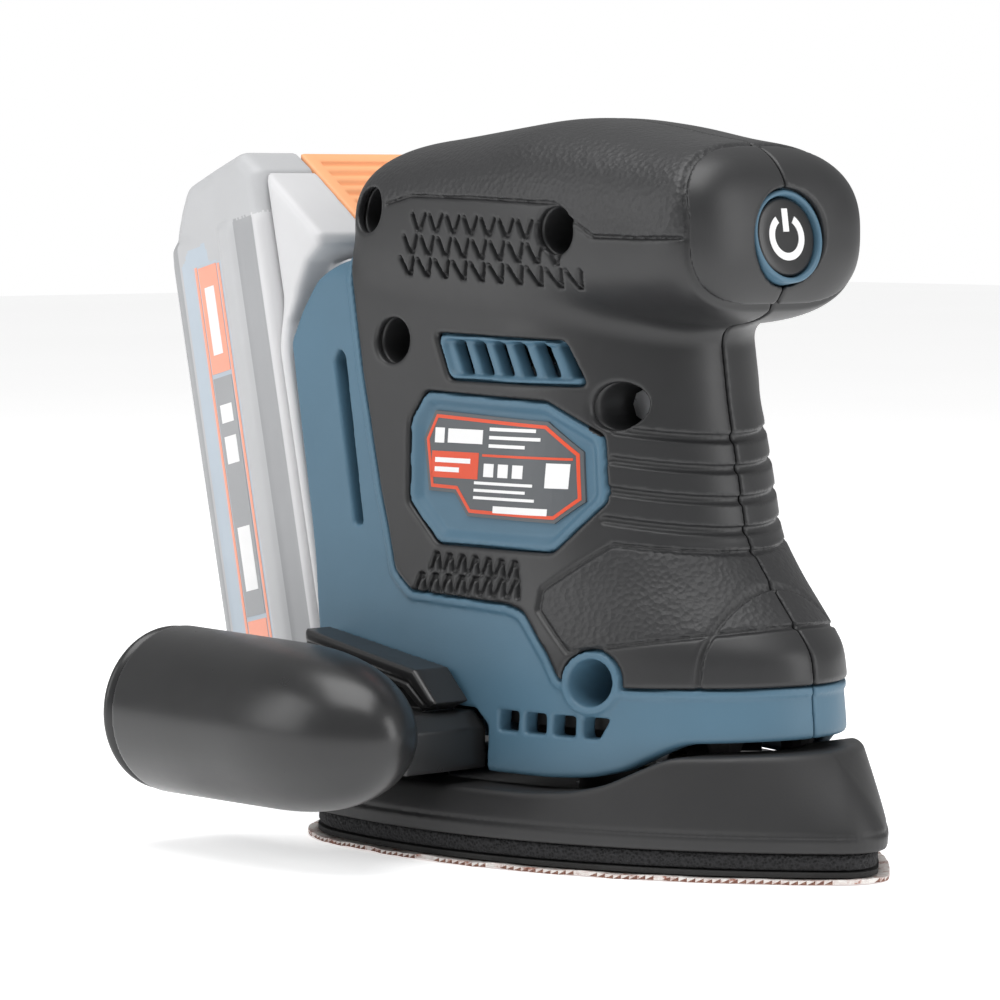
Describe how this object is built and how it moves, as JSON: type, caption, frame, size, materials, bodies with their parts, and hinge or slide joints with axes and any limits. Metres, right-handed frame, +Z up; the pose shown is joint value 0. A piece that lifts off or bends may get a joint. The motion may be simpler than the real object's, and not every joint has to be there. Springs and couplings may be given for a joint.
{
  "type": "detail sander",
  "caption": "Cordless handheld detail sander with an iron-shaped orbiting pad, soft grip, side dust canister and slide-on battery pack.",
  "frame": {"origin": "centre of the pad's outline on the sanding face, the plane that the sander stands on", "axes": "+X forwards to the pad's tip, +Y to the tool's left, +Z up through the motor and the palm rest"},
  "size_m": [0.1861, 0.1364, 0.1505],
  "materials": {
    "blue_plastic": "satin",
    "grip_skin": "matte",
    "black_plastic": "satin",
    "foam": "matte",
    "hook": "matte",
    "abrasive": "coarse",
    "label_sheet": "satin",
    "pale_grey_plastic": "satin",
    "pale_orange_plastic": "satin",
    "rubber": "matte",
    "board": "satin",
    "filter_paper": "matte",
    "cell_wrap": "satin",
    "wire_red": "satin",
    "steel": "machined",
    "can_steel": "satin",
    "brass": "machined"
  },
  "bodies": {
    "housing": {"right_housing": "blue_plastic", "left_housing": "blue_plastic", "right_grip_skin": "grip_skin", "left_grip_skin": "grip_skin", "right_label": "label_sheet", "left_label": "label_sheet", "housing_screw_1": "steel", "housing_screw_2": "steel", "housing_screw_3": "steel", "housing_screw_4": "steel", "housing_screw_5": "steel", "button_bezel": "blue_plastic", "button_spring": "steel", "switch_board": "board", "tact_switch": "black_plastic", "motor_can": "can_steel", "motor_end_cap": "black_plastic", "shaft_bearing": "steel", "bearing_plate": "black_plastic", "leg_frame": "black_plastic", "rubber_leg_1": "rubber", "rubber_leg_2": "rubber", "rubber_leg_3": "rubber", "rubber_leg_4": "rubber", "terminal_block": "black_plastic", "terminal_blade_right": "brass", "terminal_blade_left": "brass", "battery_lead": "wire_red", "motor_lead": "rubber"},
    "rotor": {"motor_shaft": "steel", "counterweight": "brass", "cooling_fan": "black_plastic"},
    "pad": {"pad_platen": "black_plastic", "pad_bearing": "steel", "pad_screw_1": "steel", "pad_screw_2": "steel", "pad_screw_3": "steel", "pad_screw_4": "steel", "foam_pad": "foam", "hook_layer": "hook", "sanding_sheet": "abrasive"},
    "button": {"power_button": "black_plastic"},
    "battery": {"pack_rear_case": "pale_grey_plastic", "pack_front_case": "pale_grey_plastic", "cell_1": "cell_wrap", "cell_2": "cell_wrap", "cell_3": "cell_wrap", "cell_4": "cell_wrap", "cell_5": "cell_wrap", "pack_board": "board", "pack_stripe_right": "pale_orange_plastic", "pack_stripe_left": "pale_orange_plastic"},
    "latch": {"pack_latch": "pale_orange_plastic"},
    "dust_box": {"dust_canister": "black_plastic", "dust_duct": "black_plastic", "dust_filter": "filter_paper"},
    "dust_lid": {"dust_cap": "black_plastic"}
  },
  "joints": [
    {"name": "rotor_spin", "type": "hinge", "parent": "housing", "child": "rotor", "pos_m": [0.004, 0, 0.05], "axis": [0, 0, 1], "continuous": true},
    {"name": "pad_orbit", "type": "hinge", "parent": "rotor", "child": "pad", "pos_m": [0.005, 0, 0.0145], "axis": [0, 0, 1], "continuous": true},
    {"name": "button_press", "type": "slide", "parent": "housing", "child": "button", "axis": [-0.9877, 0, -0.1564], "range_m": [0, 0.0015], "stiffness_N_per_m": 900, "springref_m": -0.001},
    {"name": "battery_slide", "type": "slide", "parent": "housing", "child": "battery", "axis": [-0.225, 0, 0.9744], "range_m": [0, 0.085]},
    {"name": "latch_press", "type": "slide", "parent": "battery", "child": "latch", "axis": [-0.9744, 0, -0.225], "range_m": [0, 0.0025], "stiffness_N_per_m": 1200, "springref_m": -0.001},
    {"name": "dust_box_pull", "type": "slide", "parent": "housing", "child": "dust_box", "axis": [0, -1, 0], "range_m": [0, 0.03]},
    {"name": "dust_cap_pull", "type": "slide", "parent": "dust_box", "child": "dust_lid", "axis": [-1, 0, 0], "range_m": [0, 0.02]}
  ],
  "couplings": [
    {"joint": "pad_orbit", "follows": "rotor_spin", "ratio": -1}
  ]
}
